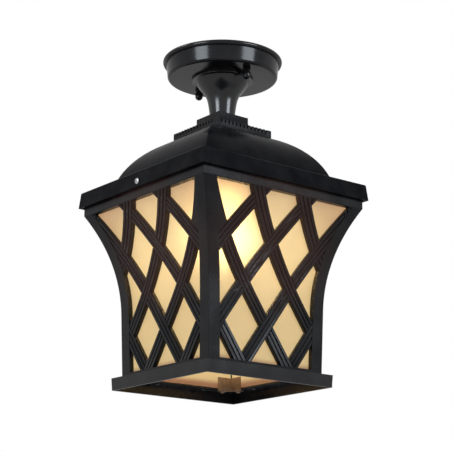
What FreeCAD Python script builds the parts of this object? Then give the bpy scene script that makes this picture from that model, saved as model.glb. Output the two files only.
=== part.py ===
import FreeCAD, Part
import math
import os

# Porch ceiling lantern. Millimetres, +Z up, origin on the ceiling plane at the lantern's axis.
# Everything hangs below the origin. The four sides face -Y (front), +Y (back), -X (left), +X (right).

Vec = FreeCAD.Vector
X_AXIS = Vec(1, 0, 0)
Y_AXIS = Vec(0, 1, 0)
Z_AXIS = Vec(0, 0, 1)
ORIGIN = Vec(0, 0, 0)
SIDE_TURNS = {"right": 0, "back": 90, "left": 180, "front": 270}
CORNER_TURNS = (0, 90, 180, 270)

# Fits shared by several pieces
CLEARANCE = 0.3          # between a piece and what it hangs beside
THREAD_FIT = 0.05        # radial, between a screw and what turns on it
HOLE_FIT = 0.3           # radial, round a screw or tube that passes through
MITRE_GAP = 0.1          # half of the joint line between two corner castings
TIP_GAP = 1.0            # beyond the end of a screw in its hole

# Pan-head screws: shares of the head's height and diameter
PAN_EDGE = 0.45
PAN_DOME = 0.85
PAN_CROWN = 0.72
RECESS_LENGTH = 0.5
RECESS_WIDTH = 0.14

# Ceiling bracket
STRAP_LENGTH = 108.0
STRAP_WIDTH = 18.0
STRAP_THICKNESS = 2.0
STRAP_STEP = 4.0         # how far the ends drop below the ceiling
STRAP_STEP_START = 34.0
STRAP_STEP_RUN = 3.0
STRAP_WIRE_HOLE = 11.0
STRAP_SLOT_PITCH = 54.0
STRAP_SLOT_LENGTH = 12.0
STRAP_SLOT_WIDTH = 5.0
STUD_SPACING = 84.0
STUD_DIAMETER = 4.0
STUD_HEAD_DIAMETER = 7.6
STUD_HEAD_HEIGHT = 2.4
GROUND_SCREW_X = -13.0
GROUND_SCREW_DIAMETER = 4.0
GROUND_HEAD_DIAMETER = 7.0
GROUND_HEAD_HEIGHT = 2.6

# Canopy
CANOPY_HEIGHT = 21.7
CANOPY_LIP_DIAMETER = 130.0
CANOPY_WALL_DIAMETER = 123.0
CANOPY_FOOT_DIAMETER = 120.0
CANOPY_DISC_DIAMETER = 113.0
CANOPY_LIP_HEIGHT = 4.6
CANOPY_EDGE_DROP = 3.6
CANOPY_EDGE_BULGE = 0.72 # share of the edge's corner that the rounding reaches
CANOPY_SHEET = 1.0

# Cap nuts under the canopy
NUT_FLANGE_DIAMETER = 8.6
NUT_FLANGE_HEIGHT = 1.2
NUT_NECK_DIAMETER = 6.4
NUT_NECK_HEIGHT = 1.0
NUT_BALL_DIAMETER = 8.4
NUT_HEIGHT = 11.5
NUT_BORE_DEPTH = 8.0
NUT_FLUTES = 12
NUT_FLUTE_DIAMETER = 1.2

# Neck
NECK_HEIGHT = 44.8
NECK_FLANGE_DIAMETER = 67.0
NECK_FLANGE_THICKNESS = 2.5
NECK_MOUTH_RADIUS = 29.5
NECK_FLARE_RADIUS = 24.0
NECK_FLARE_DROP = 8.8
NECK_THROAT_RADIUS = 18.0
NECK_THROAT_DROP = 17.3
NECK_STEM_RADIUS = 15.4
NECK_STEM_DROP = 26.0
NECK_FOOT_RADIUS = 13.2
NECK_WALL = 3.0
NECK_WEB = 6.0

# Threaded tube that pulls canopy, neck, pedestal and roof together
NIPPLE_DIAMETER = 10.0
NIPPLE_BORE = 7.0
NIPPLE_ABOVE_DISC = 9.0
NUT_ACROSS_FLATS = 14.0
LOCKNUT_HEIGHT = 4.0
WASHER_DIAMETER = 20.0
WASHER_THICKNESS = 1.2

# Square pedestal
PEDESTAL_HEIGHT = 26.0   # to the casting's lowest corner, cut to the dome
PEDESTAL_SLAB_WIDTH = 39.6
PEDESTAL_SLAB_HEIGHT = 6.5
PEDESTAL_COVE_WIDTH = 60.0
PEDESTAL_COVE_DROP = 13.5
PEDESTAL_STEP_WIDTH = 67.0
PEDESTAL_FOOT_WIDTH = 75.0
PEDESTAL_BAND_DROP = 15.6
PEDESTAL_COVE_BEND = 0.3 # how far along both ways the cove's middle lies
DENTIL_PITCH = 5.0
DENTIL_DEPTH = 1.6
DENTIL_SLOT = 1.8
DENTIL_HEIGHT = 4.4

# Roof: hipped dome, flat ledge and upright fascia band in one casting
FASCIA_WIDTH = 220.0
FASCIA_LEAN = 1.8          # each side leans in by this much towards the top
FASCIA_TOP_WIDTH = FASCIA_WIDTH - 2 * FASCIA_LEAN
FASCIA_HEIGHT = 17.6
FASCIA_EDGE_RADIUS = 1.8
ROOF_DROP = 123.7        # from the canopy disc down to the ledge
ROOF_DOME_RADIUS = 75.0
ROOF_DOME_CENTRE_X = 12.6
ROOF_DOME_CENTRE_DROP = 16.0
ROOF_HIP_RADIUS = 6.0
ROOF_WALL = 2.4
ROOF_CROWN_HALF = 20.0
ROOF_SECTIONS = 7

# Lattice cage
CAGE_HEIGHT = 184.5      # from the fascia's lower edge to the base rim
PANEL_FOOT_WIDTH = 146.8
PANEL_TAPER = 1.5        # degrees, along the straight lower part
PANEL_STRAIGHT = 68.0
PANEL_FLARE_RADIUS = 228.0
PANEL_TOP_WIDTH = FASCIA_TOP_WIDTH - 2 * ROOF_WALL - 2 * CLEARANCE
PANEL_THICKNESS = 5.0
PANEL_POST = 14.0
PANEL_TOP_RAIL = 9.6
PANEL_BOTTOM_RAIL = 4.3
WEB_RECESS = 1.5
REED_RECESS = 0.3
STRIP_WIDTH = 13.6
REED_WIDTH = 3.0
REED_PITCH = 4.5
REED_COUNT = 3
LATTICE_HALF_PITCH = 30.4
LATTICE_HALF_RISE = 42.1
LATTICE_DATUM = 42.0     # height of the crossing on the centre line above the base rim
LATTICE_ROWS = 4
MIN_OPENING_AREA = 60.0

# Glass
GLASS_THICKNESS = 2.0
GLASS_GAP = 0.5
GLASS_CORNER_GAP = 1.2

# Base rim
RIM_WIDTH = 163.0
RIM_FOOT_WIDTH = 161.6
RIM_HEIGHT = 12.9
RIM_SHEET = 1.5
RIM_OPENING = 126.0

# Fixings of the cage
FASCIA_SCREW_DIAMETER = 4.0
FASCIA_SCREW_LENGTH = 8.0
FASCIA_HEAD_DIAMETER = 6.4
FASCIA_HEAD_HEIGHT = 2.2
FASCIA_SCREW_RISE = 5.7
SMALL_SCREW_DIAMETER = 2.5
SMALL_HEAD_DIAMETER = 5.0
SMALL_HEAD_HEIGHT = 1.9
RIM_SCREW_LENGTH = 9.0
BRACKET_SHEET = 1.2
BRACKET_LEG = 18.0
BRACKET_FOOT = 6.8       # how far a folded foot reaches under the ledge
BRACKET_FOOT_WIDTH = 9.0
UPPER_BRACKET_HEIGHT = 11.0
LOWER_BRACKET_HEIGHT = 12.0
BRACKET_SCREW_LENGTH = 5.0

# Lampholder and bulb
HOLDER_CAP_HEIGHT = 13.0
HOLDER_CAP_DIAMETER = 38.0
HOLDER_CAP_CEILING = 5.0 # solid metal round the tube above the cap's hollow
HOLDER_NECK_DIAMETER = 15.0
HOLDER_NECK_HEIGHT = 4.0
HOLDER_SHOULDER_DIAMETER = 32.0
HOLDER_SHOULDER_DROP = 6.5
HOLDER_BODY_HEIGHT = 40.0
HOLDER_BODY_DIAMETER = 36.0
HOLDER_WALL = 3.2
HOLDER_FLOOR = 5.0
SHELL_THICKNESS = 0.4
SHELL_DEPTH = 25.0
CONTACT_WIDTH = 6.0
CONTACT_SHEET = 0.5
CONTACT_RISE = 3.6
BULB_CAP_DIAMETER = 26.0
BULB_CAP_LENGTH = 23.0
BULB_TIP_DIAMETER = 12.0
BULB_TIP_LENGTH = 3.0
BULB_PIP_DIAMETER = 6.0
BULB_CAP_SHOULDER = 4.0
BULB_GLOBE_DIAMETER = 60.0
BULB_NECK_DIAMETER = 27.0
BULB_GLASS_LENGTH = 85.0
BULB_GLASS_WALL = 0.8
BULB_NECK_LENGTH = 6.0
BULB_WAIST = 1.5         # how far the sides bend in between neck and globe
BULB_JOIN_ANGLE = 35.0   # above the globe's middle, where the neck's curve meets it

# Levels worked out from the sizes above
DISC_Z = -CANOPY_HEIGHT
NECK_FOOT_Z = DISC_Z - NECK_HEIGHT
PEDESTAL_FOOT_Z = NECK_FOOT_Z - PEDESTAL_HEIGHT
LEDGE_Z = DISC_Z - ROOF_DROP
FASCIA_FOOT_Z = LEDGE_Z - FASCIA_HEIGHT
LEDGE_UNDER_Z = LEDGE_Z - ROOF_WALL
RIM_TOP_Z = FASCIA_FOOT_Z - CAGE_HEIGHT
RIM_FOOT_Z = RIM_TOP_Z - RIM_HEIGHT
DOME_CENTRE_Z = LEDGE_Z - ROOF_DOME_CENTRE_DROP
CROWN_REACH = ROOF_CROWN_HALF - ROOF_DOME_CENTRE_X
CROWN_Z = DOME_CENTRE_Z + math.sqrt(ROOF_DOME_RADIUS ** 2 - CROWN_REACH ** 2)
CROWN_UNDER_Z = DOME_CENTRE_Z + math.sqrt((ROOF_DOME_RADIUS - ROOF_WALL) ** 2 - CROWN_REACH ** 2)
HOLDER_TOP_Z = CROWN_UNDER_Z - WASHER_THICKNESS - LOCKNUT_HEIGHT
HOLDER_JOIN_Z = HOLDER_TOP_Z - HOLDER_CAP_HEIGHT
HOLDER_MOUTH_Z = HOLDER_JOIN_Z - HOLDER_BODY_HEIGHT
HOLDER_FLOOR_Z = HOLDER_JOIN_Z - HOLDER_FLOOR
CONTACT_Z = HOLDER_FLOOR_Z - CONTACT_RISE
BULB_CAP_Z = CONTACT_Z - BULB_TIP_LENGTH


# ---------------------------------------------------------------- drawing aids
def line(start, end):
    return Part.LineSegment(start, end).toShape()


def arc(start, middle, end):
    return Part.Arc(start, middle, end).toShape()


def face_of(edges):
    return Part.Face(Part.Wire(Part.__sortEdges__(edges)))


def polygon(points):
    return Part.Face(Part.makePolygon(list(points) + [points[0]]))


def turned(profile_points):
    """Full turn about Z of a closed outline given as (radius, height) pairs."""
    outline = polygon([Vec(radius, 0, height) for radius, height in profile_points])
    return outline.revolve(ORIGIN, Z_AXIS, 360)


def rod(diameter, bottom, top, x=0.0, y=0.0):
    return Part.makeCylinder(diameter / 2, top - bottom, Vec(x, y, bottom), Z_AXIS)


def block(width_x, width_y, bottom, top, x=0.0, y=0.0):
    corner = Vec(x - width_x / 2, y - width_y / 2, bottom)
    return Part.makeBox(width_x, width_y, top - bottom, corner)


def spun(shape, degrees):
    copy = shape.copy()
    copy.rotate(ORIGIN, Z_AXIS, degrees)
    return copy


def hexagon_prism(across_flats, bottom, top):
    radius = across_flats / math.sqrt(3)
    points = [Vec(radius * math.cos(math.radians(60 * k)), radius * math.sin(math.radians(60 * k)), bottom)
              for k in range(6)]
    return polygon(points).extrude(Vec(0, 0, top - bottom))


def pan_screw(diameter, length, head_diameter, head_height):
    """Screw along -Z from the origin: the head's underside is at z = 0 and its dome points up."""
    edge = head_height * PAN_EDGE
    head = turned([(0, 0), (head_diameter / 2, 0), (head_diameter / 2, edge),
                   (head_diameter * PAN_CROWN / 2, head_height * PAN_DOME), (0, head_height)])
    recess = block(head_diameter * RECESS_LENGTH, head_diameter * RECESS_WIDTH, edge, head_height)
    cross = recess.fuse(spun(recess, 90))
    return head.fuse(rod(diameter, -length, 0)).cut(cross).removeSplitter()


def placed(shape, direction, degrees, position):
    """Turn a shape about an axis through the origin, then carry it to a position."""
    copy = shape.copy()
    copy.rotate(ORIGIN, direction, degrees)
    copy.translate(position)
    return copy


def solid_of(shape):
    """One clean solid out of a boolean result."""
    cleaned = shape.removeSplitter()
    if len(cleaned.Solids) != 1:
        raise ValueError("expected one solid, found %d" % len(cleaned.Solids))
    return cleaned.Solids[0]


def group_of(shapes):
    return Part.makeCompound([solid_of(shape) for shape in shapes])


def crossed(edges):
    """Square body with the same upright section on all four sides: one run along Y, one along X."""
    section = face_of(edges)
    section.translate(Vec(0, -FASCIA_WIDTH, 0))
    run = section.extrude(Vec(0, 2 * FASCIA_WIDTH, 0))
    return run.common(spun(run, 90))


# ---------------------------------------------------------------- ceiling bracket and canopy
def mounting_strap():
    half = STRAP_LENGTH / 2
    start = STRAP_STEP_START
    end = start + STRAP_STEP_RUN
    thick = STRAP_THICKNESS
    deep = -STRAP_STEP - thick
    right = [(start, 0), (end, -STRAP_STEP), (half, -STRAP_STEP),
             (half, deep), (end - thick / 2, deep), (start - thick / 2, -thick)]
    left = [(-x, z) for x, z in reversed(right)]
    outline = polygon([Vec(x, -STRAP_WIDTH / 2, z) for x, z in right + left])
    strap = outline.extrude(Vec(0, STRAP_WIDTH, 0))
    plan = block(STRAP_LENGTH - STRAP_WIDTH, STRAP_WIDTH, deep, 0)
    for side in (-1, 1):
        plan = plan.fuse(rod(STRAP_WIDTH, deep, 0, x=side * (half - STRAP_WIDTH / 2)))
    strap = strap.common(plan)
    holes = [rod(STRAP_WIRE_HOLE, deep, 0), rod(GROUND_SCREW_DIAMETER, deep, 0, x=GROUND_SCREW_X)]
    for side in (-1, 1):
        holes.append(rod(STUD_DIAMETER, deep, 0, x=side * STUD_SPACING / 2))
        slot_x = side * STRAP_SLOT_PITCH / 2
        run = STRAP_SLOT_LENGTH - STRAP_SLOT_WIDTH
        holes.append(block(run, STRAP_SLOT_WIDTH, deep, 0, x=slot_x))
        holes.append(rod(STRAP_SLOT_WIDTH, deep, 0, x=slot_x - run / 2))
        holes.append(rod(STRAP_SLOT_WIDTH, deep, 0, x=slot_x + run / 2))
    for hole in holes:
        strap = strap.cut(hole)
    return solid_of(strap)


def strap_studs():
    """Two studs headed above the stepped ends, reaching down through the canopy into the cap nuts."""
    foot = DISC_Z - NUT_BORE_DEPTH + TIP_GAP
    studs = []
    for side in (-1, 1):
        x = side * STUD_SPACING / 2
        head = rod(STUD_HEAD_DIAMETER, -STRAP_STEP, -STRAP_STEP + STUD_HEAD_HEIGHT, x=x)
        studs.append(head.fuse(rod(STUD_DIAMETER, foot, -STRAP_STEP, x=x)))
    return group_of(studs)


def ground_screw():
    screw = pan_screw(GROUND_SCREW_DIAMETER, STRAP_THICKNESS, GROUND_HEAD_DIAMETER, GROUND_HEAD_HEIGHT)
    return solid_of(placed(screw, X_AXIS, 180, Vec(GROUND_SCREW_X, 0, -STRAP_THICKNESS)))


def canopy():
    """Spun sheet cup: rolled lip against the ceiling, slightly tapered wall, rounded edge, flat disc."""
    lip = CANOPY_LIP_DIAMETER / 2
    wall = CANOPY_WALL_DIAMETER / 2
    foot = CANOPY_FOOT_DIAMETER / 2
    disc = CANOPY_DISC_DIAMETER / 2
    bead = CANOPY_LIP_HEIGHT / 2
    roll = lip - bead / 2
    edge_z = DISC_Z + CANOPY_EDGE_DROP
    bulge = CANOPY_EDGE_BULGE
    shoulder = Vec(disc + (foot - disc) * bulge, 0, DISC_Z + CANOPY_EDGE_DROP * (1 - bulge))
    sheet = CANOPY_SHEET
    outer = [
        line(Vec(wall - sheet, 0, 0), Vec(roll, 0, 0)),
        arc(Vec(roll, 0, 0), Vec(lip, 0, -bead), Vec(roll, 0, -2 * bead)),
        line(Vec(roll, 0, -2 * bead), Vec(wall, 0, -2 * bead)),
        line(Vec(wall, 0, -2 * bead), Vec(foot, 0, edge_z)),
        arc(Vec(foot, 0, edge_z), shoulder, Vec(disc, 0, DISC_Z)),
        line(Vec(disc, 0, DISC_Z), Vec(0, 0, DISC_Z)),
    ]
    inner_shoulder = Vec(shoulder.x - sheet * math.sqrt(0.5), 0, shoulder.z + sheet * math.sqrt(0.5))
    inner = [
        line(Vec(0, 0, DISC_Z), Vec(0, 0, DISC_Z + sheet)),
        line(Vec(0, 0, DISC_Z + sheet), Vec(disc, 0, DISC_Z + sheet)),
        arc(Vec(disc, 0, DISC_Z + sheet), inner_shoulder, Vec(foot - sheet, 0, edge_z)),
        line(Vec(foot - sheet, 0, edge_z), Vec(wall - sheet, 0, 0)),
    ]
    cup = face_of(outer + inner).revolve(ORIGIN, Z_AXIS, 360)
    cup = cup.cut(rod(NIPPLE_DIAMETER + 2 * HOLE_FIT, DISC_Z, DISC_Z + sheet))
    for side in (-1, 1):
        cup = cup.cut(rod(STUD_DIAMETER + 2 * HOLE_FIT, DISC_Z, DISC_Z + sheet, x=side * STUD_SPACING / 2))
    return solid_of(cup)


def cap_nut(side):
    """Knurled acorn nut: flange on the canopy, short neck, fluted ball with a blind bore."""
    flange = NUT_FLANGE_DIAMETER / 2
    neck = NUT_NECK_DIAMETER / 2
    ball = NUT_BALL_DIAMETER / 2
    neck_z = NUT_FLANGE_HEIGHT + NUT_NECK_HEIGHT
    skirt_z = NUT_HEIGHT - ball
    crown = math.sqrt(0.5)
    edges = [
        line(Vec(0, 0, 0), Vec(flange, 0, 0)),
        line(Vec(flange, 0, 0), Vec(flange, 0, -NUT_FLANGE_HEIGHT)),
        line(Vec(flange, 0, -NUT_FLANGE_HEIGHT), Vec(neck, 0, -neck_z)),
        line(Vec(neck, 0, -neck_z), Vec(ball, 0, -neck_z - NUT_NECK_HEIGHT)),
        line(Vec(ball, 0, -neck_z - NUT_NECK_HEIGHT), Vec(ball, 0, -skirt_z)),
        arc(Vec(ball, 0, -skirt_z), Vec(ball * crown, 0, -skirt_z - ball * crown), Vec(0, 0, -NUT_HEIGHT)),
        line(Vec(0, 0, -NUT_HEIGHT), Vec(0, 0, 0)),
    ]
    nut = face_of(edges).revolve(ORIGIN, Z_AXIS, 360)
    for k in range(NUT_FLUTES):
        angle = 2 * math.pi * k / NUT_FLUTES
        flute = rod(NUT_FLUTE_DIAMETER, -skirt_z, -neck_z - NUT_NECK_HEIGHT,
                    x=ball * math.cos(angle), y=ball * math.sin(angle))
        nut = nut.cut(flute)
    nut = nut.cut(rod(STUD_DIAMETER + 2 * THREAD_FIT, -NUT_BORE_DEPTH, 0))
    nut.translate(Vec(side * STUD_SPACING / 2, 0, DISC_Z))
    return solid_of(nut)


# ---------------------------------------------------------------- stem
def neck():
    """Hollow trumpet casting: thin flange under the canopy, flare, slender stem on the pedestal."""
    under = DISC_Z - NECK_FLANGE_THICKNESS
    flare = [
        Vec(NECK_MOUTH_RADIUS, 0, under),
        Vec(NECK_FLARE_RADIUS, 0, under - NECK_FLARE_DROP),
        Vec(NECK_THROAT_RADIUS, 0, under - NECK_THROAT_DROP),
        Vec(NECK_STEM_RADIUS, 0, under - NECK_STEM_DROP),
        Vec(NECK_FOOT_RADIUS, 0, NECK_FOOT_Z),
    ]
    curve = Part.BSplineCurve()
    curve.interpolate(flare)
    rim = NECK_FLANGE_DIAMETER / 2
    axis_top = Vec(0, 0, DISC_Z)
    edges = [
        line(axis_top, Vec(rim, 0, DISC_Z)),
        line(Vec(rim, 0, DISC_Z), Vec(rim, 0, under)),
        line(Vec(rim, 0, under), flare[0]),
        curve.toShape(),
        line(flare[-1], Vec(0, 0, NECK_FOOT_Z)),
        line(Vec(0, 0, NECK_FOOT_Z), axis_top),
    ]
    casting = face_of(edges).revolve(ORIGIN, Z_AXIS, 360)
    hollow = turned([(0, DISC_Z), (NECK_FLARE_RADIUS - NECK_WALL, DISC_Z),
                     (NECK_THROAT_RADIUS - NECK_WALL, under - NECK_THROAT_DROP),
                     (NECK_FOOT_RADIUS - NECK_WALL, NECK_FOOT_Z + NECK_WEB), (0, NECK_FOOT_Z + NECK_WEB)])
    bore = rod(NIPPLE_DIAMETER + 2 * HOLE_FIT, NECK_FOOT_Z, DISC_Z)
    return solid_of(casting.cut(hollow).cut(bore))


def pedestal():
    """Square moulded block: top slab, cove, step and dentil band, cut underneath to sit on the dome."""
    slab = PEDESTAL_SLAB_WIDTH / 2
    cove = PEDESTAL_COVE_WIDTH / 2
    step = PEDESTAL_STEP_WIDTH / 2
    foot = PEDESTAL_FOOT_WIDTH / 2
    slab_z = NECK_FOOT_Z - PEDESTAL_SLAB_HEIGHT
    cove_z = NECK_FOOT_Z - PEDESTAL_COVE_DROP
    band_z = NECK_FOOT_Z - PEDESTAL_BAND_DROP
    bend = PEDESTAL_COVE_BEND
    dip = Vec(slab + (cove - slab) * bend, 0, cove_z + (slab_z - cove_z) * bend)
    edges = [
        line(Vec(-slab, 0, NECK_FOOT_Z), Vec(slab, 0, NECK_FOOT_Z)),
        line(Vec(-foot, 0, PEDESTAL_FOOT_Z), Vec(foot, 0, PEDESTAL_FOOT_Z)),
    ]
    for side in (-1, 1):
        edges += [
            line(Vec(side * slab, 0, NECK_FOOT_Z), Vec(side * slab, 0, slab_z)),
            arc(Vec(side * slab, 0, slab_z), Vec(side * dip.x, 0, dip.z), Vec(side * cove, 0, cove_z)),
            line(Vec(side * cove, 0, cove_z), Vec(side * step, 0, band_z)),
            line(Vec(side * step, 0, band_z), Vec(side * foot, 0, band_z)),
            line(Vec(side * foot, 0, band_z), Vec(side * foot, 0, PEDESTAL_FOOT_Z)),
        ]
    body = crossed(edges)
    count = int((PEDESTAL_FOOT_WIDTH - 2 * DENTIL_DEPTH - 2 * DENTIL_SLOT) / DENTIL_PITCH)
    for turn in CORNER_TURNS:
        for k in range(count):
            y = (k - (count - 1) / 2) * DENTIL_PITCH
            notch = block(2 * DENTIL_DEPTH, DENTIL_SLOT, band_z - DENTIL_HEIGHT, band_z, x=foot, y=y)
            body = body.cut(spun(notch, turn))
    body = body.cut(dome_body(0.0))
    bore = rod(NIPPLE_DIAMETER + 2 * HOLE_FIT, PEDESTAL_FOOT_Z, NECK_FOOT_Z)
    return solid_of(body.cut(bore))


def threaded_nipple():
    top = DISC_Z + NIPPLE_ABOVE_DISC
    bottom = HOLDER_TOP_Z - HOLDER_CAP_CEILING - HOLDER_NECK_HEIGHT
    return solid_of(rod(NIPPLE_DIAMETER, bottom, top).cut(rod(NIPPLE_BORE, bottom, top)))


def nipple_washer(under_z):
    washer = rod(WASHER_DIAMETER, under_z, under_z + WASHER_THICKNESS)
    return solid_of(washer.cut(rod(NIPPLE_DIAMETER + 2 * THREAD_FIT, under_z, under_z + WASHER_THICKNESS)))


def nipple_locknut(under_z):
    nut = hexagon_prism(NUT_ACROSS_FLATS, under_z, under_z + LOCKNUT_HEIGHT)
    return solid_of(nut.cut(rod(NIPPLE_DIAMETER, under_z, under_z + LOCKNUT_HEIGHT)))


# ---------------------------------------------------------------- roof
def dome_body(inset):
    """Solid bounded by the dome's outer face moved inwards: two crossing vaults, their four hips
    eased by a wider pair that stands across the corners."""
    radius = ROOF_DOME_RADIUS - inset
    base_angle = math.asin((LEDGE_UNDER_Z - DOME_CENTRE_Z) / radius)
    crown_angle = math.acos(CROWN_REACH / radius)
    profile = []
    for k in range(ROOF_SECTIONS):
        angle = base_angle + (crown_angle - base_angle) * k / (ROOF_SECTIONS - 1)
        profile.append(Vec(ROOF_DOME_CENTRE_X + radius * math.cos(angle), 0,
                           DOME_CENTRE_Z + radius * math.sin(angle)))
    easing = ROOF_HIP_RADIUS - inset
    across = [Vec(math.sqrt(2) * (point.x - easing) + easing, 0, point.z) for point in profile]
    return crossed(vault_edges(profile)).common(spun(crossed(vault_edges(across)), 45))


def vault_edges(profile):
    """Upright section whose right-hand side runs through the profile's points, mirrored on the left."""
    right = Part.BSplineCurve()
    right.interpolate(profile)
    left = Part.BSplineCurve()
    left.interpolate([Vec(-point.x, 0, point.z) for point in profile])
    foot, top = profile[0], profile[-1]
    return [right.toShape(), left.toShape(),
            line(Vec(-foot.x, 0, foot.z), foot), line(Vec(-top.x, 0, top.z), top)]


def roof():
    """One casting: domed hip roof, flat ledge and upright fascia, hollow and open underneath."""
    outside = fascia_block(0.0).fuse(dome_body(0.0))
    shell = outside.cut(fascia_block(ROOF_WALL)).cut(dome_body(ROOF_WALL))
    shell = shell.cut(rod(NIPPLE_DIAMETER + 2 * HOLE_FIT, CROWN_UNDER_Z - ROOF_WALL, CROWN_Z + ROOF_WALL))
    for turn in (0, 180):
        shell = shell.cut(spun(fascia_screw_hole(), turn))
    return solid_of(shell)


def fascia_block(inset):
    """Square block of the fascia band and ledge, its faces moved inwards: leaning sides, eased top edge."""
    foot = FASCIA_WIDTH / 2 - inset
    lean = (FASCIA_WIDTH - FASCIA_TOP_WIDTH) / 2 / FASCIA_HEIGHT
    radius = max(FASCIA_EDGE_RADIUS - inset, 0.0)
    top_z = LEDGE_Z - inset
    shoulder_z = top_z - radius
    shoulder = foot - lean * (shoulder_z - FASCIA_FOOT_Z)
    bend = radius * (1 - math.sqrt(0.5))
    edges = [line(Vec(-foot, 0, FASCIA_FOOT_Z), Vec(foot, 0, FASCIA_FOOT_Z)),
             line(Vec(radius - shoulder, 0, top_z), Vec(shoulder - radius, 0, top_z))]
    for side in (-1, 1):
        edges.append(line(Vec(side * foot, 0, FASCIA_FOOT_Z), Vec(side * shoulder, 0, shoulder_z)))
        if radius > 0:
            edges.append(arc(Vec(side * shoulder, 0, shoulder_z),
                             Vec(side * (shoulder - bend), 0, top_z - bend),
                             Vec(side * (shoulder - radius), 0, top_z)))
    return crossed(edges)


def fascia_screw_hole():
    z = FASCIA_FOOT_Z + FASCIA_SCREW_RISE
    diameter = FASCIA_SCREW_DIAMETER + 2 * HOLE_FIT
    reach = 3 * ROOF_WALL
    return Part.makeCylinder(diameter / 2, 2 * reach, Vec(0, -FASCIA_WIDTH / 2 - reach, z), Y_AXIS)


# ---------------------------------------------------------------- lattice panels
def panel_outline(inset):
    """Corner points of the panel's side profile, moved inwards: foot, flare start, flare middle,
    flare end, upstand top. x is the distance from the lantern's axis."""
    slope = math.radians(PANEL_TAPER)
    foot_x = PANEL_FOOT_WIDTH / 2
    start_x = foot_x + PANEL_STRAIGHT * math.tan(slope)
    start_z = RIM_TOP_Z + PANEL_STRAIGHT
    centre_x = start_x + PANEL_FLARE_RADIUS * math.cos(slope)
    centre_z = start_z - PANEL_FLARE_RADIUS * math.sin(slope)
    radius = PANEL_FLARE_RADIUS + inset
    end_x = PANEL_TOP_WIDTH / 2 - inset
    end_slope = math.acos((centre_x - end_x) / radius)
    middle_slope = (slope + end_slope) / 2

    def on_flare(angle):
        return Vec(centre_x - radius * math.cos(angle), 0, centre_z + radius * math.sin(angle))

    foot = Vec(foot_x - inset / math.cos(slope), 0, RIM_TOP_Z)
    top = Vec(end_x, 0, LEDGE_UNDER_Z)
    return [foot, on_flare(slope), on_flare(middle_slope), on_flare(end_slope), top]


def outline_edges(points):
    foot, start, middle, end, top = points
    return [line(foot, start), arc(start, middle, end), line(end, top)]


def curved_slab(outer_inset, inner_inset):
    """Full-width slab that follows the flared profile between two insets."""
    outer = panel_outline(outer_inset)
    inner = panel_outline(inner_inset)
    edges = outline_edges(outer) + outline_edges(inner)
    edges += [line(outer[0], inner[0]), line(outer[-1], inner[-1])]
    profile = face_of(edges)
    reach = FASCIA_WIDTH
    profile.translate(Vec(0, -reach / 2, 0))
    return profile.extrude(Vec(0, reach, 0))


def mitre_wedge(gap):
    """Quarter of the plan that belongs to the +X side, its edges drawn back by gap."""
    reach = FASCIA_WIDTH
    start = 2 * gap
    corners = [Vec(start, start - gap, RIM_FOOT_Z), Vec(reach, reach - gap, RIM_FOOT_Z),
               Vec(reach, gap - reach, RIM_FOOT_Z), Vec(start, gap - start, RIM_FOOT_Z)]
    return polygon(corners).extrude(Vec(0, 0, -RIM_FOOT_Z))


def lattice_point(u, v):
    """Elevation point of lattice coordinates: u and v count strips along the two slants."""
    y = LATTICE_HALF_PITCH * (u + v)
    z = RIM_TOP_Z + LATTICE_DATUM + LATTICE_HALF_RISE * (u - v)
    return Vec(0, y, z)


def lattice_prism(u_low, u_high, v_low, v_high):
    corners = [lattice_point(u_low, v_low), lattice_point(u_high, v_low),
               lattice_point(u_high, v_high), lattice_point(u_low, v_high)]
    return polygon(corners).extrude(Vec(FASCIA_WIDTH, 0, 0))


def strip_fraction():
    """Half a strip's width as a share of the distance between neighbouring strips."""
    run = math.hypot(LATTICE_HALF_PITCH, LATTICE_HALF_RISE)
    spacing = 2 * LATTICE_HALF_PITCH * LATTICE_HALF_RISE / run
    return STRIP_WIDTH / 2 / spacing


def window_prism():
    """The panel's window between posts and rails; its sides follow the flare."""
    points = panel_outline(0.0)
    top_z = FASCIA_FOOT_Z - PANEL_TOP_RAIL
    bottom_z = RIM_TOP_Z + PANEL_BOTTOM_RAIL
    edges = []
    for side in (-1, 1):
        seen = [Vec(0, side * (point.x - PANEL_POST), point.z) for point in points]
        edges += outline_edges(seen)
    for point in (points[0], points[-1]):
        half = point.x - PANEL_POST
        edges.append(line(Vec(0, -half, point.z), Vec(0, half, point.z)))
    field = face_of(edges).extrude(Vec(FASCIA_WIDTH, 0, 0))
    limits = Part.makeBox(FASCIA_WIDTH, FASCIA_WIDTH, top_z - bottom_z, Vec(0, -FASCIA_WIDTH / 2, bottom_z))
    return field.common(limits)


def lattice_openings(window):
    """Diamonds between the strips, clipped by the window. The outer cells of the top row have no
    strip above them, so they run on along their lower slant to the post."""
    half = strip_fraction()
    top_z = FASCIA_FOOT_Z - PANEL_TOP_RAIL
    openings = []
    for u in range(-LATTICE_ROWS, LATTICE_ROWS + 1):
        for v in range(-LATTICE_ROWS, LATTICE_ROWS + 1):
            centre = lattice_point(u + 0.5, v + 0.5)
            u_high = u + 1 - half
            v_low = v + half
            if centre.z > top_z - LATTICE_HALF_RISE / 2 and centre.y > LATTICE_HALF_PITCH:
                u_high = u + 1 + half
            if centre.z > top_z - LATTICE_HALF_RISE / 2 and centre.y < -LATTICE_HALF_PITCH:
                v_low = v - half
            if centre.z > top_z:
                continue
            cell = lattice_prism(u + half, u_high, v_low, v + 1 - half).common(window)
            if cell.Volume > MIN_OPENING_AREA * FASCIA_WIDTH:
                openings.append(cell)
    return openings


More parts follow.
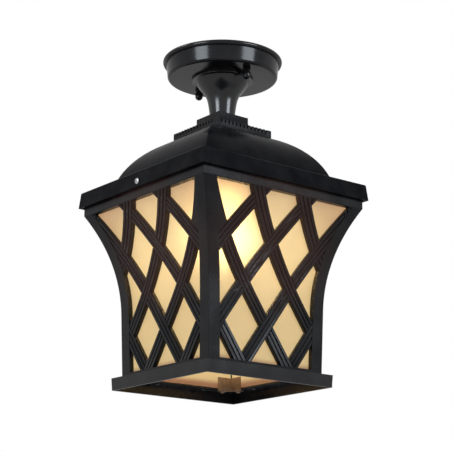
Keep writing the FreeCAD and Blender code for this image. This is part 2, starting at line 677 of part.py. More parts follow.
def reed_prisms():
    """Three reeds along every strip, broken where the strip dives under a crossing one. Rising
    strips lie over the falling ones on every second row of crossings, as in basket work."""
    half = strip_fraction()
    per_mm = half / (STRIP_WIDTH / 2)
    prisms = []
    for strip in range(-LATTICE_ROWS, LATTICE_ROWS + 1):
        for k in range(REED_COUNT):
            offset = (k - (REED_COUNT - 1) / 2) * REED_PITCH
            low = strip + (offset - REED_WIDTH / 2) * per_mm
            high = strip + (offset + REED_WIDTH / 2) * per_mm
            for cross in range(-LATTICE_ROWS, LATTICE_ROWS):
                start = cross + half
                end = cross + 2 - half
                middle = cross + 1
                if (middle - strip) % 2 == 0:
                    if in_window(middle, strip):
                        prisms.append(lattice_prism(start, end, low, high))
                    if in_window(strip, middle + 1):
                        prisms.append(lattice_prism(low, high, start + 1, end + 1))
    return prisms


def in_window(u, v):
    centre = lattice_point(u, v)
    sideways = abs(centre.y) < PANEL_TOP_WIDTH / 2 + LATTICE_HALF_PITCH / 2
    upright = RIM_TOP_Z - LATTICE_HALF_RISE < centre.z < FASCIA_FOOT_Z + LATTICE_HALF_RISE
    return sideways and upright


def lattice_panel():
    """Right-hand side casting: posts, rails and sunk lattice web with raised reeds."""
    window = window_prism()
    openings = Part.makeCompound(lattice_openings(window))
    frame = curved_slab(0.0, PANEL_THICKNESS).cut(window)
    web = curved_slab(WEB_RECESS, PANEL_THICKNESS).common(window)
    field = curved_slab(REED_RECESS, WEB_RECESS).common(window)
    reeds = field.common(Part.makeCompound(reed_prisms()))
    panel = frame.fuse([web] + reeds.Solids).cut(openings)
    return solid_of(panel.common(mitre_wedge(MITRE_GAP)))


def drilled_panel(panel, name):
    """Screw holes at the foot, at the upper corner brackets and, front and back, for the fascia screw."""
    drilled = panel
    for position in rim_screw_positions():
        drilled = drilled.cut(rod(SMALL_SCREW_DIAMETER, position.z, position.z + RIM_SCREW_LENGTH,
                                  x=position.x, y=position.y))
    if name in ("front", "back"):
        z = FASCIA_FOOT_Z + FASCIA_SCREW_RISE
        start = Vec(FASCIA_WIDTH / 4, 0, z)
        drilled = drilled.cut(Part.makeCylinder(FASCIA_SCREW_DIAMETER / 2, FASCIA_WIDTH / 2, start, X_AXIS))
    for side in (-1, 1):
        start = upper_screw_position(side)
        hole = Part.makeCylinder(SMALL_SCREW_DIAMETER / 2, BRACKET_SCREW_LENGTH, start, X_AXIS)
        drilled = drilled.cut(hole)
    return solid_of(drilled)


def side_panel(panel, mirrored, name):
    """Neighbouring sides are mirror images of each other, so the weave meets at the corners."""
    copy = panel.mirror(ORIGIN, Y_AXIS) if mirrored else panel.copy()
    return spun(drilled_panel(copy, name), SIDE_TURNS[name])


def glass_pane(name):
    """Slumped frosted pane that follows the casting's inner face and stands on the base rim."""
    outer = PANEL_THICKNESS + GLASS_GAP
    pane = curved_slab(outer, outer + GLASS_THICKNESS)
    pane = pane.common(mitre_wedge(GLASS_CORNER_GAP))
    trim = block(2 * FASCIA_WIDTH, 2 * FASCIA_WIDTH, FASCIA_FOOT_Z, 0)
    return solid_of(spun(pane.cut(trim), SIDE_TURNS[name]))


# ---------------------------------------------------------------- base rim and fixings
def square_ring(outer_top, outer_foot, inner, bottom, top):
    outlines = []
    for half, z in ((outer_foot, bottom), (outer_top, top)):
        corners = [Vec(-half, -half, z), Vec(half, -half, z), Vec(half, half, z), Vec(-half, half, z)]
        outlines.append(Part.makePolygon(corners + [corners[0]]))
    return Part.makeLoft(outlines, True, True).cut(block(2 * inner, 2 * inner, bottom, top))


def base_rim():
    """Square frame of pressed angle: upright band outside, flat ledge inside that carries the cage."""
    top = RIM_WIDTH / 2
    foot = RIM_FOOT_WIDTH / 2
    band = square_ring(top, foot, foot - RIM_SHEET, RIM_FOOT_Z, RIM_TOP_Z)
    ledge = square_ring(foot, foot, RIM_OPENING / 2, RIM_TOP_Z - RIM_SHEET, RIM_TOP_Z)
    rim = band.fuse(ledge)
    for name in SIDE_TURNS:
        for position in rim_screw_positions():
            hole = rod(SMALL_SCREW_DIAMETER + 2 * HOLE_FIT, RIM_TOP_Z - RIM_SHEET, RIM_TOP_Z,
                       x=position.x, y=position.y)
            rim = rim.cut(spun(hole, SIDE_TURNS[name]))
    for turn in CORNER_TURNS:
        for position in bracket_screw_positions():
            hole = rod(SMALL_SCREW_DIAMETER, RIM_TOP_Z - RIM_SHEET, RIM_TOP_Z, x=position.x, y=position.y)
            rim = rim.cut(spun(hole, turn))
    return solid_of(rim)


def rim_screw_positions():
    """Under the lowest crossings of the right-hand panel, in the middle of its sunk web."""
    x = panel_outline((WEB_RECESS + PANEL_THICKNESS) / 2)[0].x
    return [Vec(x, side * LATTICE_HALF_PITCH, RIM_TOP_Z) for side in (-1, 1)]


def rim_screws():
    screw = pan_screw(SMALL_SCREW_DIAMETER, RIM_SHEET + RIM_SCREW_LENGTH - TIP_GAP, SMALL_HEAD_DIAMETER,
                      SMALL_HEAD_HEIGHT)
    screws = []
    for name, turn in SIDE_TURNS.items():
        for position in rim_screw_positions():
            seat = Vec(position.x, position.y, RIM_TOP_Z - RIM_SHEET)
            screws.append(spun(placed(screw, X_AXIS, 180, seat), turn))
    return group_of(screws)


def bracket_screw_positions():
    """Under the ledge, one on each leg of the corner bracket at the +X +Y corner."""
    x = RIM_OPENING / 2 + BRACKET_FOOT / 2
    y = RIM_OPENING / 2 - BRACKET_LEG / 2
    return [Vec(x, y, 0), Vec(y, x, 0)]


def lower_bracket():
    """Sheet angle in a lower corner: legs stand along the panes, feet are folded under the ledge."""
    sheet = BRACKET_SHEET
    face = RIM_OPENING / 2
    leg = BRACKET_LEG
    foot_z = RIM_TOP_Z - RIM_SHEET - sheet
    top_z = RIM_TOP_Z + LOWER_BRACKET_HEIGHT
    outside = face - CLEARANCE
    legs = block(sheet, leg, foot_z, top_z, x=outside - sheet / 2, y=outside - leg / 2)
    legs = legs.fuse(block(leg, sheet, foot_z, top_z, x=outside - leg / 2, y=outside - sheet / 2))
    width = BRACKET_FOOT_WIDTH
    middle = bracket_screw_positions()[0].y
    start = outside - sheet
    length = face + BRACKET_FOOT - start
    feet = [block(length, width, foot_z, foot_z + sheet, x=start + length / 2, y=middle),
            block(width, length, foot_z, foot_z + sheet, x=middle, y=start + length / 2)]
    bracket = legs.fuse(feet)
    for position in bracket_screw_positions():
        bracket = bracket.cut(rod(SMALL_SCREW_DIAMETER + 2 * HOLE_FIT, foot_z, foot_z + sheet,
                                  x=position.x, y=position.y))
    return solid_of(bracket)


def lower_brackets():
    return group_of([spun(lower_bracket(), turn) for turn in CORNER_TURNS])


def lower_bracket_screws():
    length = RIM_SHEET + BRACKET_SHEET
    screw = pan_screw(SMALL_SCREW_DIAMETER, length, SMALL_HEAD_DIAMETER, SMALL_HEAD_HEIGHT)
    screws = []
    for turn in CORNER_TURNS:
        for position in bracket_screw_positions():
            seat = Vec(position.x, position.y, RIM_TOP_Z - RIM_SHEET - BRACKET_SHEET)
            screws.append(spun(placed(screw, X_AXIS, 180, seat), turn))
    return group_of(screws)


def upper_bracket():
    """Sheet angle inside an upper corner: ties two upstands together and stops the panes lifting."""
    sheet = BRACKET_SHEET
    face = PANEL_TOP_WIDTH / 2 - PANEL_THICKNESS
    leg = BRACKET_LEG
    low = FASCIA_FOOT_Z + CLEARANCE
    high = low + UPPER_BRACKET_HEIGHT
    legs = block(sheet, leg, low, high, x=face - sheet / 2, y=face - leg / 2)
    legs = legs.fuse(block(leg, sheet, low, high, x=face - leg / 2, y=face - sheet / 2))
    for position in (upper_screw_position(1), swapped(upper_screw_position(1))):
        direction = X_AXIS if position.x > position.y else Y_AXIS
        start = position - direction * (2 * sheet)
        hole = Part.makeCylinder(SMALL_SCREW_DIAMETER / 2 + HOLE_FIT, 4 * sheet, start, direction)
        legs = legs.cut(hole)
    return solid_of(legs)


def swapped(position):
    return Vec(position.y, position.x, position.z)


def upper_screw_position(side):
    """On the right-hand panel's inner face, near its corner."""
    x = PANEL_TOP_WIDTH / 2 - PANEL_THICKNESS
    y = x - BRACKET_LEG / 2
    z = FASCIA_FOOT_Z + CLEARANCE + UPPER_BRACKET_HEIGHT / 2
    return Vec(x, side * y, z)


def upper_brackets():
    return group_of([spun(upper_bracket(), turn) for turn in CORNER_TURNS])


def upper_bracket_screws():
    length = BRACKET_SHEET + BRACKET_SCREW_LENGTH - TIP_GAP
    screw = pan_screw(SMALL_SCREW_DIAMETER, length, SMALL_HEAD_DIAMETER, SMALL_HEAD_HEIGHT)
    screws = []
    for turn in SIDE_TURNS.values():
        for side in (-1, 1):
            seat = upper_screw_position(side) - X_AXIS * BRACKET_SHEET
            screws.append(spun(placed(screw, Y_AXIS, -90, seat), turn))
    return group_of(screws)


def fascia_screws():
    """Bright pan-head screws through the fascia, front and back, into the cage's upstand."""
    screw = pan_screw(FASCIA_SCREW_DIAMETER, FASCIA_SCREW_LENGTH, FASCIA_HEAD_DIAMETER, FASCIA_HEAD_HEIGHT)
    lean = (FASCIA_WIDTH - FASCIA_TOP_WIDTH) / 2 / FASCIA_HEIGHT
    face = FASCIA_WIDTH / 2 - FASCIA_SCREW_RISE * lean
    stand_off = FASCIA_HEAD_DIAMETER / 2 * lean
    z = FASCIA_FOOT_Z + FASCIA_SCREW_RISE
    seat = Vec(0, -face - stand_off, z)
    front = placed(screw, X_AXIS, 90, seat)
    return group_of([front, spun(front, 180)])


# ---------------------------------------------------------------- lampholder and bulb
def holder_cap():
    """Pressed metal dome on the tube's lower end, holding the ceramic body from above."""
    neck_half = HOLDER_NECK_DIAMETER / 2
    rim = HOLDER_CAP_DIAMETER / 2
    wall = (HOLDER_CAP_DIAMETER - HOLDER_BODY_DIAMETER) / 2
    shoulder = HOLDER_SHOULDER_DIAMETER / 2
    ceiling_z = HOLDER_TOP_Z - HOLDER_CAP_CEILING - HOLDER_NECK_HEIGHT
    cap = turned([(0, HOLDER_TOP_Z), (neck_half, HOLDER_TOP_Z),
                  (neck_half, HOLDER_TOP_Z - HOLDER_NECK_HEIGHT),
                  (shoulder, HOLDER_TOP_Z - HOLDER_SHOULDER_DROP), (rim, HOLDER_JOIN_Z + wall),
                  (rim, HOLDER_JOIN_Z), (0, HOLDER_JOIN_Z)])
    hollow = turned([(0, HOLDER_JOIN_Z), (rim - wall, HOLDER_JOIN_Z), (shoulder - 2 * wall, ceiling_z),
                     (0, ceiling_z)])
    return solid_of(cap.cut(hollow).cut(rod(NIPPLE_DIAMETER, HOLDER_JOIN_Z, HOLDER_TOP_Z)))


def holder_body():
    """Ceramic cup that carries the screw shell; its floor holds the centre contact."""
    cavity = HOLDER_BODY_DIAMETER - 2 * HOLDER_WALL
    body = rod(HOLDER_BODY_DIAMETER, HOLDER_MOUTH_Z, HOLDER_JOIN_Z)
    body = body.fuse(rod(HOLDER_CAP_DIAMETER, HOLDER_FLOOR_Z, HOLDER_JOIN_Z))
    return solid_of(body.cut(rod(cavity, HOLDER_MOUTH_Z, HOLDER_FLOOR_Z)))


def holder_shell():
    """Brass screw shell pressed against the cup's wall, open at the mouth and at the contact."""
    outer = HOLDER_BODY_DIAMETER - 2 * HOLDER_WALL
    top = HOLDER_FLOOR_Z
    bottom = top - SHELL_DEPTH
    shell = rod(outer, bottom, top).cut(rod(outer - 2 * SHELL_THICKNESS, bottom, top - SHELL_THICKNESS))
    return solid_of(shell.cut(rod(2 * CONTACT_WIDTH, bottom, top)))


def centre_contact():
    """Brass tongue riveted to the floor and folded down to meet the bulb's tip."""
    half = CONTACT_WIDTH / 2
    sheet = CONTACT_SHEET
    top = HOLDER_FLOOR_Z
    points = [(-half, top), (half, top), (half, top - sheet), (-half + sheet, top - sheet),
              (-half + sheet, CONTACT_Z + sheet), (half, CONTACT_Z + sheet),
               (half, CONTACT_Z), (-half, CONTACT_Z)]
    outline = polygon([Vec(x, -half / 2, z) for x, z in points])
    return solid_of(outline.extrude(Vec(0, half, 0)))


def bulb_tip():
    """Dark glass insulator with the contact pip, between the contact and the screw cap."""
    pip = BULB_PIP_DIAMETER / 2
    root = BULB_TIP_DIAMETER / 2
    return solid_of(turned([(0, CONTACT_Z), (pip, CONTACT_Z), (root, BULB_CAP_Z), (0, BULB_CAP_Z)]))


def bulb_cap():
    radius = BULB_CAP_DIAMETER / 2
    bottom = BULB_CAP_Z - BULB_CAP_LENGTH
    shoulder = BULB_TIP_DIAMETER / 2
    return solid_of(turned([(0, BULB_CAP_Z), (shoulder, BULB_CAP_Z), (radius, BULB_CAP_Z - BULB_CAP_SHOULDER),
                            (radius, bottom), (0, bottom)]))


def bulb_globe():
    """Thin glass envelope: narrow neck in the cap, swelling to a round end."""
    top = BULB_CAP_Z - BULB_CAP_LENGTH
    globe = BULB_GLOBE_DIAMETER / 2
    centre_z = top - BULB_GLASS_LENGTH + globe
    outer = bulb_profile(BULB_NECK_DIAMETER / 2, globe, top, centre_z)
    wall = BULB_GLASS_WALL
    inner = bulb_profile(BULB_NECK_DIAMETER / 2 - wall, globe - wall, top - wall, centre_z)
    return solid_of(outer.cut(inner))


def bulb_profile(neck_radius, globe, top, centre_z):
    join = math.radians(BULB_JOIN_ANGLE)
    join_point = Vec(globe * math.cos(join), 0, centre_z + globe * math.sin(join))
    neck_end = Vec(neck_radius, 0, top - BULB_NECK_LENGTH)
    waist = (neck_end + join_point) / 2 - X_AXIS * BULB_WAIST
    edges = [
        line(Vec(0, 0, top), Vec(neck_radius, 0, top)),
        line(Vec(neck_radius, 0, top), neck_end),
        arc(neck_end, waist, join_point),
        arc(join_point, Vec(globe * math.cos(join), 0, centre_z - globe * math.sin(join)),
            Vec(0, 0, centre_z - globe)),
        line(Vec(0, 0, centre_z - globe), Vec(0, 0, top)),
    ]
    return face_of(edges).revolve(ORIGIN, Z_AXIS, 360)


# ---------------------------------------------------------------- the whole lantern
def lantern():
    panel = lattice_panel()
    pieces = {
        "mounting_strap": mounting_strap(),
        "strap_studs": strap_studs(),
        "ground_screw": ground_screw(),
        "canopy": canopy(),
        "cap_nut_left": cap_nut(-1),
        "cap_nut_right": cap_nut(1),
        "neck": neck(),
        "pedestal": pedestal(),
        "threaded_nipple": threaded_nipple(),
        "top_washer": nipple_washer(DISC_Z + CANOPY_SHEET),
        "top_locknut": nipple_locknut(DISC_Z + CANOPY_SHEET + WASHER_THICKNESS),
        "roof": roof(),
        "bottom_washer": nipple_washer(CROWN_UNDER_Z - WASHER_THICKNESS),
        "bottom_locknut": nipple_locknut(HOLDER_TOP_Z),
        "lampholder_cap": holder_cap(),
        "lampholder_body": holder_body(),
        "lampholder_shell": holder_shell(),
        "lampholder_contact": centre_contact(),
        "bulb_tip": bulb_tip(),
        "bulb_cap": bulb_cap(),
        "bulb_globe": bulb_globe(),
        "base_rim": base_rim(),
        "rim_screws": rim_screws(),
        "lower_brackets": lower_brackets(),
        "lower_bracket_screws": lower_bracket_screws(),
        "upper_brackets": upper_brackets(),
        "upper_bracket_screws": upper_bracket_screws(),
        "fascia_screws": fascia_screws(),
    }
    for name in SIDE_TURNS:
        pieces["lattice_panel_" + name] = side_panel(panel, name in ("front", "back"), name)
        pieces["glass_pane_" + name] = glass_pane(name)
    return pieces


os.makedirs("parts", exist_ok=True)
for node, shape in lantern().items():
    shape.exportStep("parts/%s.step" % node)
    print("%-22s %2d solids  %10.1f mm3  valid %s" % (node, len(shape.Solids), shape.Volume, shape.isValid()))
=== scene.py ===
import bmesh
import bpy
import math
from mathutils import Matrix, Vector


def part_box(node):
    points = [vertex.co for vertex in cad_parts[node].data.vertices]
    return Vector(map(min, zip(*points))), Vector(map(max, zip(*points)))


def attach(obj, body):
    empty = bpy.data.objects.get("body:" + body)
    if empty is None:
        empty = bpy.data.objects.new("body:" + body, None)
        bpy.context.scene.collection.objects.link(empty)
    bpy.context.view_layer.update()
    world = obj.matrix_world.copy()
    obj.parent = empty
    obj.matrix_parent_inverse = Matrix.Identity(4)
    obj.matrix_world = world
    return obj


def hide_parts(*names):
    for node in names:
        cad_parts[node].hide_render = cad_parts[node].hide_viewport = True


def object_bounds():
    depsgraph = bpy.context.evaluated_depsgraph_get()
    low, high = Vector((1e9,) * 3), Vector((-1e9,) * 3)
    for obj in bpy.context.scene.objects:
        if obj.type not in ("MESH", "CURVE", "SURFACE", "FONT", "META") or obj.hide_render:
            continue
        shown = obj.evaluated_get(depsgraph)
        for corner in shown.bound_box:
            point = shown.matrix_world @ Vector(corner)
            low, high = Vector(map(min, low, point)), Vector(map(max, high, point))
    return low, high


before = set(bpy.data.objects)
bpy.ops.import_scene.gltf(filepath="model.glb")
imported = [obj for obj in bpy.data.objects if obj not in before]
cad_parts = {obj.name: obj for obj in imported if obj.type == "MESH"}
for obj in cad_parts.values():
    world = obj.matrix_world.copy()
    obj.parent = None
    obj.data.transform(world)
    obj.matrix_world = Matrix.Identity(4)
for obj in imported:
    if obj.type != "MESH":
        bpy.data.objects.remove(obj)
cad_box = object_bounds()

# ---- Canopy -----------------------------------------------------------------------------------
# A spun steel cup that hides the ceiling box, with a rolled lip against the ceiling.
# It is sprayed gloss black, and the paint lies in a very faint orange peel.


class Signal:
    """One output of a finish's nodes. Arithmetic on it adds the Math nodes that work it out."""

    def __init__(self, finish, socket):
        self.finish = finish
        self.socket = socket

    def maths(self, operation, first, second):
        return self.finish.node("ShaderNodeMath", {"operation": operation}, {0: first, 1: second})

    def __add__(self, other):
        return self.maths("ADD", self, other)

    def __sub__(self, other):
        return self.maths("SUBTRACT", self, other)

    def __mul__(self, other):
        return self.maths("MULTIPLY", self, other)

    def __rsub__(self, other):
        return self.maths("SUBTRACT", other, self)

    __radd__ = __add__
    __rmul__ = __mul__


class Finish:
    """One material: a Principled shader with its fixed values, and the nodes that vary it."""

    def __init__(self, name, colour, **fixed):
        self.material = bpy.data.materials.new(name)
        self.material.use_nodes = True
        self.tree = self.material.node_tree
        self.shader = self.tree.nodes["Principled BSDF"]
        self.shader.inputs["Base Color"].default_value = (*colour, 1)
        for socket_name, value in fixed.items():
            self.shader.inputs[socket_name.replace("_", " ")].default_value = value

    def node(self, kind, settings, sockets, output=0):
        made = self.tree.nodes.new(kind)
        for setting, value in settings.items():
            setattr(made, setting, value)
        for place, value in sockets.items():
            if isinstance(value, Signal):
                self.tree.links.new(value.socket, made.inputs[place])
            else:
                made.inputs[place].default_value = value
        return Signal(self, made.outputs[output])

    def drive(self, name, signal):
        self.tree.links.new(signal.socket, self.shader.inputs[name])

    def place(self):
        """Position on the lantern, in metres."""
        return self.node("ShaderNodeTexCoord", {}, {}, "Object")

    def noise(self, size, detail=3.0, stretch=(1, 1, 1)):
        """Cloudy signal from 0 to 1 whose blotches are about size metres wide."""
        spread = self.node("ShaderNodeMapping", {}, {"Vector": self.place(), "Scale": stretch})
        return self.node("ShaderNodeTexNoise", {}, {"Vector": spread, "Scale": 1 / size, "Detail": detail})

    def mix(self, share, low, high):
        """Colour that goes from low to high as share goes from 0 to 1."""
        return self.node("ShaderNodeMix", {"data_type": "RGBA"}, {0: share, 6: low, 7: high}, 2)

    def between(self, signal, low, high, to_low=0.0, to_high=1.0):
        """Signal mapped from one range to another, and held at its ends."""
        return self.node("ShaderNodeMapRange", {"interpolation_type": "SMOOTHSTEP"},
                         {0: signal, 1: low, 2: high, 3: to_low, 4: to_high})

    def relief(self, height, depth):
        """Small bumps of that depth in metres."""
        bump = self.node("ShaderNodeBump", {}, {"Height": height, "Distance": depth, "Strength": 1.0})
        self.drive("Normal", bump)


BLOTCH_SIZE = 0.022
PEEL_SIZE = 0.0011
PAINT_THIN = (0.004, 0.004, 0.005, 1)
PAINT_THICK = (0.008, 0.008, 0.009, 1)


def black_paint(name, roughness, peel, shine=0.15):
    """Black enamel: faint blotches in colour and gloss, and a fine peel."""
    paint = Finish(name, (0.006, 0.006, 0.007), Roughness=roughness, Specular_IOR_Level=shine)
    blotches = paint.noise(BLOTCH_SIZE)
    grain = paint.noise(PEEL_SIZE, detail=2.0)
    paint.drive("Base Color", paint.mix(paint.between(blotches, 0.3, 0.7), PAINT_THIN, PAINT_THICK))
    uneven = blotches * 0.7 + grain * 0.3
    paint.drive("Roughness", paint.between(uneven, 0.3, 0.7, roughness * 0.85, roughness * 1.2))
    paint.relief(grain, peel)
    return paint


WELD = 0.000002
FLAT_WITHIN = math.radians(0.4)


def eased(node, radius, material, body="housing", steps=2, sharp=28.0):
    """The node's own solid with its edges eased, as casting, pressing or paint leaves them."""
    shape = bmesh.new()
    shape.from_mesh(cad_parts[node].data)
    bmesh.ops.remove_doubles(shape, verts=shape.verts, dist=WELD)
    bmesh.ops.dissolve_limit(shape, angle_limit=FLAT_WITHIN, verts=shape.verts, edges=shape.edges)
    mesh = bpy.data.meshes.new(node + "_eased")
    shape.to_mesh(mesh)
    shape.free()
    mesh.shade_smooth()
    mesh.set_sharp_from_angle(angle=math.radians(sharp))
    mesh.materials.append(material)
    piece = bpy.data.objects.new(node + "_eased", mesh)
    bpy.context.scene.collection.objects.link(piece)
    if radius:
        easing = piece.modifiers.new("easing", "BEVEL")
        easing.width = radius
        easing.segments = steps
        easing.limit_method = "ANGLE"
        easing.angle_limit = math.radians(sharp)
        easing.harden_normals = True
    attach(piece, body)
    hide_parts(node)
    return piece


gloss_black = black_paint("gloss_black_enamel", roughness=0.16, peel=0.000004, shine=0.3).material
eased("canopy", radius=0.0004, material=gloss_black)

# ---- Ceiling strap ----------------------------------------------------------------------------
# Zinc-plated strip with slots for the ceiling box, two studs that carry the lantern, and a
# green earth screw. It shows only from above.
CLOUD_SIZE = 0.006
SCRATCH_SIZE = 0.0006
SCRATCH_STRETCH = (0.08, 1, 1)


def plated_steel(name, colour, roughness):
    """Plated steel: brushed sheen with slight clouding and fine scratches along X."""
    steel = Finish(name, colour, Metallic=1.0, Roughness=roughness)
    cloud = steel.noise(CLOUD_SIZE)
    scratches = steel.noise(SCRATCH_SIZE, detail=4.0, stretch=SCRATCH_STRETCH)
    dull = tuple(0.72 * part for part in colour)
    steel.drive("Base Color", steel.mix(steel.between(cloud, 0.35, 0.7), (*colour, 1), (*dull, 1)))
    worn = scratches * 0.6 + cloud * 0.4
    steel.drive("Roughness", steel.between(worn, 0.3, 0.7, roughness * 0.8, roughness * 1.3))
    steel.relief(scratches, depth=0.000003)
    return steel.material


zinc = plated_steel("bright_zinc", colour=(0.66, 0.66, 0.65), roughness=0.3)
eased("mounting_strap", radius=0.0003, material=zinc)
eased("strap_studs", radius=0.0002, material=zinc)
green_zinc = plated_steel("green_passivated_zinc", colour=(0.05, 0.32, 0.11), roughness=0.38)
eased("ground_screw", radius=0.0002, material=green_zinc)

# ---- Cap nuts ---------------------------------------------------------------------------------
# Two fluted acorn nuts, turned on the strap's studs, hold the canopy up. They are turned steel,
# painted with the canopy.
eased("cap_nut_left", radius=0.00015, material=gloss_black, body="left_cap_nut")
eased("cap_nut_right", radius=0.00015, material=gloss_black, body="right_cap_nut")

# ---- Neck and pedestal ------------------------------------------------------------------------
# A trumpet-shaped casting under the canopy stands on a square moulded block with a dentil band.
# Both are cast aluminium in satin black powder coat, smoother on the turned trumpet.
neck_black = black_paint("polished_black_enamel", roughness=0.2, peel=0.000003, shine=0.6).material
eased("neck", radius=0.0006, material=neck_black)
satin_black = black_paint("satin_black_powder_coat", roughness=0.34, peel=0.000012).material
eased("pedestal", radius=0.0004, material=satin_black)

# ---- Threaded tube with washers and locknuts --------------------------------------------------
# An M10 lamp tube runs from the canopy down to the lampholder and clamps the stack together.
# Washers and hexagon nuts are zinc plated.
for fixing in ("threaded_nipple", "top_washer", "top_locknut", "bottom_washer", "bottom_locknut"):
    eased(fixing, radius=0.00025, material=zinc)

# ---- Roof -------------------------------------------------------------------------------------
# One casting: the domed hip roof, the ledge round it and the upright fascia band, which hangs
# over the cage like a lid. Its edges are softly rounded.
roof_black = black_paint("roof_black_powder_coat", roughness=0.26, peel=0.000006, shine=0.03).material
eased("roof", radius=0.0007, material=roof_black, steps=3)

# ---- Lampholder -------------------------------------------------------------------------------
# A pressed cap on the tube holds a glazed porcelain cup with a brass screw shell and a folded
# brass tongue for the bulb's tip.
cap_black = black_paint("lampholder_black_enamel", roughness=0.3, peel=0.000005).material
eased("lampholder_cap", radius=0.0004, material=cap_black)
porcelain = Finish("white_glazed_porcelain", (0.80, 0.79, 0.75), Roughness=0.14, Coat_Weight=0.4)
speckle = porcelain.noise(size=0.0015)
specks = porcelain.between(speckle, 0.55, 0.75)
porcelain.drive("Base Color", porcelain.mix(specks, (0.82, 0.81, 0.77, 1), (0.70, 0.68, 0.62, 1)))
porcelain.relief(porcelain.noise(size=0.004), depth=0.00002)
eased("lampholder_body", radius=0.0006, material=porcelain.material)
brass = plated_steel("pressed_brass", colour=(0.80, 0.60, 0.28), roughness=0.26)
eased("lampholder_shell", radius=0.0001, material=brass)
eased("lampholder_contact", radius=0.0001, material=brass)

# ---- Bulb -------------------------------------------------------------------------------------
# A lit opal globe with a rolled aluminium screw cap and a dark glass insulator at the tip.
# The glass is blown thin, and coated white inside, so that it glows evenly.
dark_glass = Finish("dark_insulator_glass", (0.02, 0.015, 0.03), Roughness=0.2)
dark_glass.relief(dark_glass.noise(size=0.002), depth=0.00003)
eased("bulb_tip", radius=0.0002, material=dark_glass.material, body="bulb")
cap_metal = plated_steel("rolled_aluminium", colour=(0.80, 0.80, 0.78), roughness=0.28)
eased("bulb_cap", radius=0.0003, material=cap_metal, body="bulb")
GLOBE_RADIUS = 0.030
GLOBE_TO_NECK = 0.050
bulb_centre = Vector((0, 0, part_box("bulb_globe")[0].z + GLOBE_RADIUS))
opal = Finish("lit_opal_glass", (0.95, 0.93, 0.88), Roughness=0.25, Emission_Strength=42.0)
bulb_height = opal.node("ShaderNodeSeparateXYZ", {}, {0: opal.place()}, "Z")
faded = opal.between(bulb_height, bulb_centre.z - GLOBE_RADIUS, bulb_centre.z + GLOBE_TO_NECK)
glow = faded + (opal.noise(size=0.01) - 0.5) * 0.06
opal.drive("Emission Color", opal.mix(glow, (1.0, 0.90, 0.70, 1), (0.72, 0.56, 0.36, 1)))
eased("bulb_globe", radius=0, material=opal.material, body="bulb")

# ---- Lattice sides ----------------------------------------------------------------------------
# Four castings with posts, rails and a sunk web whose reeded strips pass over and under each
# other. They flare out towards the roof and meet in mitred corners. Near the bulb their paint has a
# faint warm glow of painted lamplight.
LAMPLIGHT_FULL_WITHIN = 0.088
LAMPLIGHT_GONE_BEYOND = 0.135
PAINTED_LAMPLIGHT = (0.02, 0.008, 0.005, 1)
lattice_paint = black_paint("lattice_black_powder_coat", roughness=0.26, peel=0.00001, shine=0.24)
# Painted lamplight: a faint warm emission on the paint, strongest near the bulb and gone further out.
bulb_side = lattice_paint.node("ShaderNodeVectorMath", {"operation": "DISTANCE"},
                               {0: lattice_paint.place(), 1: bulb_centre}, "Value")
painted_lamplight_share = lattice_paint.between(bulb_side, LAMPLIGHT_FULL_WITHIN, LAMPLIGHT_GONE_BEYOND, 1.0, 0.0)
lattice_paint.drive("Emission Color", lattice_paint.mix(painted_lamplight_share, (0, 0, 0, 1), PAINTED_LAMPLIGHT))
lattice_paint.shader.inputs["Emission Strength"].default_value = 1.0
lattice_black = lattice_paint.material
SIDES = ("right", "back", "left", "front")
for side in SIDES:
    eased("lattice_panel_" + side, radius=0.00045, material=lattice_black, steps=3)

# ---- Mitre putty ------------------------------------------------------------------------------
# A bead of black glazing putty fills the seam where two castings meet, so that no lamplight shows
# through the joint. It is pressed in by hand and struck off just below the corner.
PUTTY_SET_BACK = 0.0009
PUTTY_BITE = 0.00003
SEAM_REACH = 0.001
SQUARE_ON = 0.999
putty = Finish("black_glazing_putty", (0.008, 0.008, 0.008), Roughness=0.7)
putty.relief(putty.noise(size=0.0015), depth=0.00005)
for side, facing in (("right", 1), ("left", -1)):
    for end, corner_name in ((-1, "front"), (1, "back")):
        across = Vector((-facing, end, 0)).normalized()
        inwards = Vector((-facing, -end, 0)).normalized()
        bead = bmesh.new()
        bead.from_mesh(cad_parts["lattice_panel_" + side].data)
        square_on = {face for face in bead.faces if face.normal.dot(across) > SQUARE_ON}
        seam = {face for face in square_on if face.calc_center_median().dot(across) > -SEAM_REACH}
        bmesh.ops.delete(bead, geom=[face for face in bead.faces if face not in seam], context="FACES")
        bmesh.ops.remove_doubles(bead, verts=bead.verts, dist=WELD)
        gap = 2 * min(-corner.co.dot(across) for corner in bead.verts)
        bmesh.ops.translate(bead, vec=inwards * PUTTY_SET_BACK - across * PUTTY_BITE, verts=bead.verts)
        pressed = bmesh.ops.extrude_face_region(bead, geom=bead.faces[:])["geom"]
        moved = [corner for corner in pressed if isinstance(corner, bmesh.types.BMVert)]
        bmesh.ops.translate(bead, vec=across * (gap + 2 * PUTTY_BITE), verts=moved)
        bmesh.ops.recalc_face_normals(bead, faces=bead.faces)
        bead_mesh = bpy.data.meshes.new("mitre_putty_" + side + "_" + corner_name)
        bead.to_mesh(bead_mesh)
        bead.free()
        bead_mesh.materials.append(putty.material)
        filling = bpy.data.objects.new(bead_mesh.name, bead_mesh)
        bpy.context.scene.collection.objects.link(filling)
        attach(filling, "housing")
